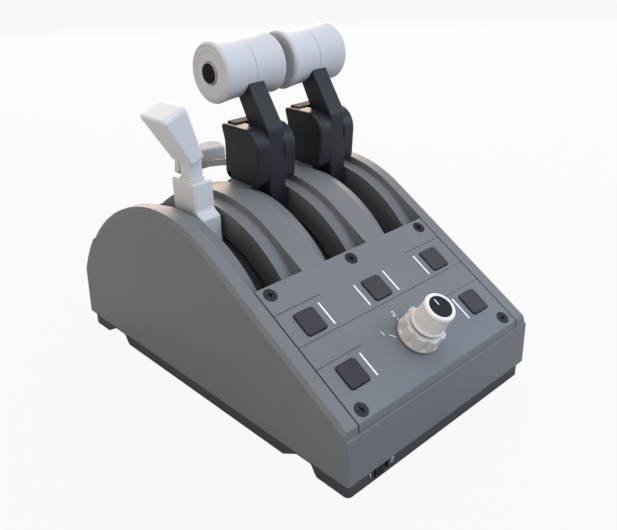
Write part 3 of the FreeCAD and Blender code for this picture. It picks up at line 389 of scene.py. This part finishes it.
# how far the lower edges rise, and the front crease drops, by the ends
LOW_RISE = 4.2
CREASE_DROP = 1.8
# where the paddle's outlines stand, from its middle at 0 to its ends at 1, closer at the ends
PADDLE_STATIONS = (-0.985, -0.94, -0.85, -0.65, -0.35, 0, 0.35, 0.65, 0.85, 0.94, 0.985)
# how sharp the long edges stay, by point of the outline, and the edges of the ends
PADDLE_CREASES = {0: 0.85, 1: 0.7, 4: 0.6, 5: 0.35, 6: 0.75}
PADDLE_END_CREASE = 0.55


def paddle_section(t):
    """Closed (y, z) outline of the paddle at t, from 0 at its middle to 1 at an end."""
    t = abs(t)
    top = math.sqrt(1 - t ** 4)
    low = LOW_RISE * (1 - math.sqrt(1 - t ** 5))
    ridge_y = RIDGE_Y + RIDGE_BACK * t ** 3
    ridge_z = RIDGE_Z - RIDGE_DROP * t * t
    rise = TOP_RISE + TOP_END_RISE * t * t
    return [
        (ridge_y, ridge_z),
        (ridge_y + TOP_BACK * top, ridge_z + rise * top),  # rear top edge
        (90.7, 119.0 - low / 2),
        (90.8, 113.0),
        (92.0, 107.3 + low),  # rear lower edge
        (88.4, 107.2 + low),  # front lower edge
        (85.9, 113.7 - CREASE_DROP * t * t),  # crease across the front
    ]


def add_paddle(side):
    """Finger paddle: ridge and crease in front, arched top, rounded ends."""
    x = THROTTLES[side]
    build = bmesh.new()
    crease = build.edges.layers.float.new("crease_edge")
    rings = []
    for t in PADDLE_STATIONS:
        ring = [build.verts.new((x + PADDLE_HALF * t, y, z)) for y, z in paddle_section(t)]
        rings.append(ring)
    count = len(rings[0])
    for ring, following in zip(rings, rings[1:]):
        for i in range(count):
            j = (i + 1) % count
            build.faces.new((ring[i], ring[j], following[j], following[i]))
        for i, amount in PADDLE_CREASES.items():
            build.edges.get((ring[i], following[i]))[crease] = amount
    for ring in (rings[0], rings[-1]):
        end = build.faces.new(ring)
        for edge in end.edges:
            edge[crease] = PADDLE_END_CREASE
    add_piece(side + "_paddle", build, "reverser_" + side,
              side + "_reverser_paddle", MATERIALS["paddle_grey"], subdivided=True)


def extrude(build, points, offset):
    """Closed flat outline drawn out along an offset."""
    face = build.faces.new([build.verts.new(point) for point in points])
    raised = bmesh.ops.extrude_face_region(build, geom=[face])
    lifted = [v for v in raised["geom"] if isinstance(v, bmesh.types.BMVert)]
    bmesh.ops.translate(build, verts=lifted, vec=offset)


EYE_R = 5.0
EYE_HALF = 5.5
EYE_STEPS = 36
PLATE_HALF = 1.1
# (y, z) from the eye's upper side to the paddle, and back along the lower side
PLATE_OUTLINE = [
    (REVERSER_Y, REVERSER_Z + 4.2), (46.0, 124.0), (54.0, 123.0), (61.0, 121.3),
    (75.0, 117.2), (88.0, 113.2), (88.0, 109.6), (75.0, 112.8), (61.0, 117.0),
    (54.0, 118.4), (46.0, 118.6), (REVERSER_Y, REVERSER_Z - 4.2),
]


def add_lever(side):
    """Thin reverser lever: an eye on the pin and a plate that drops to the paddle."""
    x = THROTTLES[side]
    turns = [2 * math.pi * step / EYE_STEPS for step in range(EYE_STEPS)]
    eye = [(REVERSER_Y + EYE_R * math.cos(a), REVERSER_Z + EYE_R * math.sin(a)) for a in turns]
    build = bmesh.new()
    for outline, half in ((eye, EYE_HALF), (PLATE_OUTLINE, PLATE_HALF)):
        extrude(build, [(x - half, y, z) for y, z in outline], (2 * half, 0, 0))
    # the plate's finish is darkened: painted shade on its side face
    add_piece(side + "_lever_plate", build, "reverser_" + side,
              side + "_reverser_lever", LEVER_PLATE_SHADED)


for side in SIDES:
    add_lever(side)
    add_paddle(side)


# ---------------------------------------------------------------- double knob
# Heights are above the panel, and KNOB_S is the knob's place up its slope.
KNOB_S = 23.4
KNOB_BORE = 3.1

RING_R = 12.95
RING_LOW = 0.5
RING_TOP = 10.8
RING_FLUTES = 9
STEPS_PER_FLUTE = 20
FLUTE_START = math.radians(-8.0)
FLUTE_SHARE = 0.42
FLUTE_DEPTH = 1.25
FLUTE_LOW = 3.4
FLUTE_END = 0.9
FLUTED_FROM_R = 10.0


def flute_depth(step, radius, height):
    """How deep the ring's side is cut at a step round it and at a height."""
    across = abs((step / STEPS_PER_FLUTE + 0.5) % 1.0 - 0.5) / (FLUTE_SHARE / 2)
    if radius < FLUTED_FROM_R or across >= 1.0 or height <= FLUTE_LOW - FLUTE_END:
        return 0.0
    round_end = min(1.0, (height - FLUTE_LOW + FLUTE_END) / FLUTE_END)
    return FLUTE_DEPTH * math.sqrt(1 - across ** 4) * round_end


def turned(profile, count, start, cut):
    """Closed (radius, height) profile turned in steps; cut gives the depth taken off."""
    build = bmesh.new()
    loops = []
    for step in range(count):
        angle = start + 2 * math.pi * step / count
        loop = []
        for radius, height in profile:
            radius -= cut(step, radius, height)
            loop.append(build.verts.new((radius * math.cos(angle), radius * math.sin(angle),
                                         height)))
        loops.append(loop)
    for loop, following in zip(loops, loops[1:] + loops[:1]):
        for i in range(len(profile)):
            j = (i + 1) % len(profile)
            build.faces.new((loop[i], following[i], following[j], loop[j]))
    return build


def add_knob_ring():
    """Outer ring: flutes cut down through its top edge, and a wide flat top."""
    profile = [(KNOB_BORE, RING_LOW), (RING_R - 0.5, RING_LOW), (RING_R - 0.1, RING_LOW + 0.35),
               (RING_R, RING_LOW + 0.9), (RING_R - 0.1, FLUTE_LOW - FLUTE_END),
               (RING_R - 0.12, FLUTE_LOW - FLUTE_END / 2), (RING_R - 0.15, FLUTE_LOW),
               (RING_R - 0.45, RING_TOP - 0.5), (RING_R - 0.6, RING_TOP - 0.15),
               (RING_R - 0.95, RING_TOP), (9.6, RING_TOP), (KNOB_BORE, RING_TOP)]
    build = turned(profile, RING_FLUTES * STEPS_PER_FLUTE, FLUTE_START, flute_depth)
    add_piece("knob_outer_ring", build, "knob_ring", "knob_ring",
              SPECIAL["knob_ring"], panel_matrix(0.0, KNOB_S))


DIAL_RIDGES = 72
STEPS_PER_RIDGE = 6
KNURL_LOW = 14.3
KNURL_HIGH = 24.9
KNURL_DEPTH = 0.3
DIAL_LOW = 12.2
DISC_SEAT = 27.2
DISC_TOP = 27.65


def knurl_depth(step, radius, height):
    """Fine upright grooves on the tapered side of the inner knob."""
    if not KNURL_LOW <= height <= KNURL_HIGH:
        return 0.0
    turn = 2 * math.pi * step / STEPS_PER_RIDGE
    return KNURL_DEPTH * (0.5 - 0.5 * math.cos(turn))


def add_knob_dial():
    """Inner knob: collar, knurled taper, and a rounded rim about a recessed disc."""
    collar = [(9.5, DIAL_LOW), (9.85, 12.4), (9.98, 12.8), (9.9, 13.3), (9.6, 13.7), (9.42, 14.0)]
    taper = [(9.4, KNURL_LOW), (8.85, KNURL_HIGH)]
    rim = [(8.87, 25.1), (9.1, 25.4), (9.25, 25.9), (9.22, 26.7), (8.95, 27.35), (8.5, 27.75),
           (7.9, 27.9), (7.25, 27.88), (6.95, 27.7), (6.9, DISC_SEAT)]
    profile = [(KNOB_BORE, DIAL_LOW), *collar, *taper, *rim, (KNOB_BORE, DISC_SEAT)]
    build = turned(profile, DIAL_RIDGES * STEPS_PER_RIDGE, 0.0, knurl_depth)
    add_piece("knob_inner_dial", build, "knob_dial", "knob_dial",
              SPECIAL["knob_dial"], panel_matrix(0.0, KNOB_S))


add_knob_ring()
add_knob_dial()


# ---------------------------------------------------------------- printed marks
PRINT_T = 0.05
PRINT_SINK = 0.01
CORNER_NICK = 0.12

# plain stroke numerals, on a field 2 wide and 3 high
NUMERALS = {
    "1": [((0.4, 2.3), (1.1, 3.0)), ((1.1, 3.0), (1.1, 0.0))],
    "2": [((0.1, 3.0), (1.9, 3.0)), ((1.9, 3.0), (1.9, 1.5)), ((1.9, 1.5), (0.1, 1.5)),
          ((0.1, 1.5), (0.1, 0.0)), ((0.1, 0.0), (1.9, 0.0))],
}


def stroke(build, start, end, width):
    """Add one printed stroke with slightly rounded ends."""
    first = Vector(start)
    last = Vector(end)
    along = (last - first).normalized()
    across = Vector((-along.y, along.x))
    half = width / 2
    nick = min(CORNER_NICK, half / 2)
    outline = []
    for base, sign in ((first, 1), (last, -1)):
        inward = along * sign * nick
        edge = across * sign * half
        corner = across * sign * (half - nick)
        outline += [base - edge + inward, base - corner, base + corner, base + edge + inward]
    extrude(build, [(p.x, p.y, -PRINT_SINK) for p in outline], (0, 0, PRINT_T))


def add_strokes(name, strokes, width, placing, body):
    """Printed mark made of strokes on its own flat axes."""
    build = bmesh.new()
    for start, end in strokes:
        stroke(build, start, end, width)
    bmesh.ops.recalc_face_normals(build, faces=build.faces)
    mark = add_mesh(name, build, placing, PRINT)
    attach(mark, body)


DIVIDER_W = 1.1
UPPER_DIVIDERS = ((-40.8, -12.5, 12.5, 40.8), 51.9, 67.1)
LOWER_DIVIDERS = ((-40.8, 40.8), 16.0, 31.2)
LEADERS = [((-3.2, 37.7), (-4.4, 33.6)), ((-16.4, 31.7), (-13.4, 28.4))]
LEADER_W = 0.5
KNOB_NUMBERS = (("2", -4.6, 39.4), ("1", -20.4, 32.4))
KNOB_NUMBER_W = 0.45


def print_panel():
    """White dividers beside the buttons, two leader ticks and plain numbers at the knob."""
    dividers = [((x, low), (x, high)) for places, low, high in (UPPER_DIVIDERS, LOWER_DIVIDERS)
                for x in places]
    add_strokes("print_dividers", dividers, DIVIDER_W, panel_matrix(), "quadrant_base")
    add_strokes("print_leaders", LEADERS, LEADER_W, panel_matrix(), "quadrant_base")
    for text, x, s in KNOB_NUMBERS:
        add_strokes("print_knob_number_" + text, NUMERALS[text], KNOB_NUMBER_W,
                    panel_matrix(x, s), "quadrant_base")


BASE_FRONT_Y = -128.4
SELECTOR_X = -53.1
SELECTOR_NUMBERS = (("1", SELECTOR_X - 9.6), ("2", SELECTOR_X + 8.0))
SELECTOR_NUMBER_Z = 4.9
SELECTOR_NUMBER_W = 0.4


def print_base():
    """Plain numbers on either side of the selector."""
    upright = Matrix.Rotation(math.radians(90), 4, "X")
    for text, x in SELECTOR_NUMBERS:
        spot = Matrix.Translation(Vector((x, BASE_FRONT_Y, SELECTOR_NUMBER_Z)) * MM)
        add_strokes("print_selector_number_" + text, NUMERALS[text], SELECTOR_NUMBER_W,
                    spot @ upright, "quadrant_base")


POINTER = [((0, 1.4), (0, 5.2))]
POINTER_W = 0.7


def print_knob():
    """Plain pointer on the black disc of the inner knob."""
    add_strokes("print_knob_pointer", POINTER, POINTER_W,
                panel_matrix(0.0, KNOB_S, DISC_TOP), "knob_dial")


print_panel()
print_base()
print_knob()


# ---------------------------------------------------------------- camera
# Places are in metres from here on.
CAMERA_SPOT = (-0.2813, -0.3198, 0.2715)
CAMERA_TARGET = (0.02291, 0.00492, 0.05261)
CAMERA_ROLL = math.radians(-1.396)
CAMERA_LENS = 42.41
CAMERA_SENSOR = 36.0
CLIP_NEAR = 0.01
CLIP_FAR = 20.0


def place_camera():
    """Camera in front of the left side, a little above the levers, rolled slightly."""
    spot = Vector(CAMERA_SPOT)
    ahead = (Vector(CAMERA_TARGET) - spot).normalized()
    right = ahead.cross(Vector((0, 0, 1))).normalized()
    up = right.cross(ahead)
    across = math.cos(CAMERA_ROLL) * right + math.sin(CAMERA_ROLL) * up
    above = -math.sin(CAMERA_ROLL) * right + math.cos(CAMERA_ROLL) * up
    data = bpy.data.cameras.new("camera")
    data.lens = CAMERA_LENS
    data.sensor_width = CAMERA_SENSOR
    data.sensor_fit = "HORIZONTAL"
    data.clip_start = CLIP_NEAR
    data.clip_end = CLIP_FAR
    camera = bpy.data.objects.new("camera", data)
    turn = Matrix((across, above, -ahead)).transposed().to_4x4()
    camera.matrix_world = Matrix.Translation(spot) @ turn
    bpy.context.scene.collection.objects.link(camera)
    bpy.context.scene.camera = camera


place_camera()


# ---------------------------------------------------------------- stage
FLOOR_HALF = 3.0
FLOOR_CELLS = 8
FLOOR_COLOR = (0.40, 0.40, 0.41)
FLOOR_ROUGHNESS = 0.9
FLOOR_SPECULAR = 0.1
# what the camera sees of the floor: mostly a pale glow, and a little of the lit paper
FLOOR_GLOW = (0.975, 0.975, 0.975)
FLOOR_GLOW_SHARE = 0.95


def make_floor():
    """Pale desk that fades into the white background and keeps a faint contact shadow."""
    mesh = bpy.data.meshes.new("floor")
    build = bmesh.new()
    bmesh.ops.create_grid(build, x_segments=FLOOR_CELLS, y_segments=FLOOR_CELLS, size=FLOOR_HALF)
    build.to_mesh(mesh)
    build.free()
    floor = bpy.data.objects.new("floor", mesh)
    bpy.context.scene.collection.objects.link(floor)
    graph = Graph("floor_paper")
    for socket, value in (("Base Color", FLOOR_COLOR), ("Roughness", FLOOR_ROUGHNESS),
                          ("Specular IOR Level", FLOOR_SPECULAR)):
        graph.feed(graph.shader.inputs[socket], value)
    glow = graph.add("ShaderNodeEmission", {"Color": FLOOR_GLOW})
    seen = graph.add("ShaderNodeLightPath").outputs["Is Camera Ray"]
    blend = graph.add("ShaderNodeMixShader", {0: graph.math("MULTIPLY", seen, FLOOR_GLOW_SHARE),
                                              1: graph.shader.outputs["BSDF"],
                                              2: glow.outputs["Emission"]})
    output = graph.tree.nodes["Material Output"]
    graph.feed(output.inputs["Surface"], blend.outputs["Shader"])
    mesh.materials.append(graph.material)


ROOM_COLOR = (0.96, 0.98, 1.0, 1)
ROOM_STRENGTH = 0.45
BACKDROP_COLOR = (0.98, 0.98, 0.98, 1)


def make_world():
    """Even studio light; the camera itself sees a white backdrop."""
    world = bpy.data.worlds.new("studio")
    bpy.context.scene.world = world
    world.use_nodes = True
    tree = world.node_tree
    tree.nodes.clear()
    light_path = tree.nodes.new("ShaderNodeLightPath")
    room = tree.nodes.new("ShaderNodeBackground")
    room.inputs["Color"].default_value = ROOM_COLOR
    room.inputs["Strength"].default_value = ROOM_STRENGTH
    backdrop = tree.nodes.new("ShaderNodeBackground")
    backdrop.inputs["Color"].default_value = BACKDROP_COLOR
    blend = tree.nodes.new("ShaderNodeMixShader")
    output = tree.nodes.new("ShaderNodeOutputWorld")
    tree.links.new(light_path.outputs["Is Camera Ray"], blend.inputs["Fac"])
    tree.links.new(room.outputs["Background"], blend.inputs[1])
    tree.links.new(backdrop.outputs["Background"], blend.inputs[2])
    tree.links.new(blend.outputs["Shader"], output.inputs["Surface"])


# name, place, aim, width and height, watts, color
LAMPS = (
    ("key_front", (0.25, -0.95, 0.95), (0, 0, 0.08), (1.0, 0.8), 12.1, (0.69, 0.81, 1.0)),
    ("fill_right", (1.15, -0.45, 0.35), (0, 0, 0.08), (0.7, 0.5), 5.5, (0.68, 0.81, 1.0)),
    ("key_above", (0.1, 0.1, 1.3), (0, 0, 0.08), (1.0, 1.0), 7.8, (0.92, 0.94, 1.0)),
    ("rim_rear", (0.95, 1.05, 0.55), (0, 0, 0.12), (1.8, 0.75), 37.0, (1.0, 0.77, 0.64)),
    ("fill_left", (-1.2, 0.0, 0.40), (0, 0, 0.08), (0.8, 0.8), 6.5, (1.0, 0.885, 0.79)),
)


def hang_lamps():
    """Soft rectangular lamps: cool from the front, warm from behind and from the left."""
    for name, spot, aim, size, power, color in LAMPS:
        data = bpy.data.lights.new(name, "AREA")
        data.shape = "RECTANGLE"
        data.size, data.size_y = size
        data.energy = power
        data.color = color
        lamp = bpy.data.objects.new(name, data)
        lamp.location = spot
        lamp.rotation_mode = "QUATERNION"
        lamp.rotation_quaternion = (Vector(aim) - Vector(spot)).to_track_quat("-Z", "Y")
        bpy.context.scene.collection.objects.link(lamp)


make_floor()
make_world()
hang_lamps()
scene = bpy.context.scene
scene.view_settings.view_transform = "Standard"
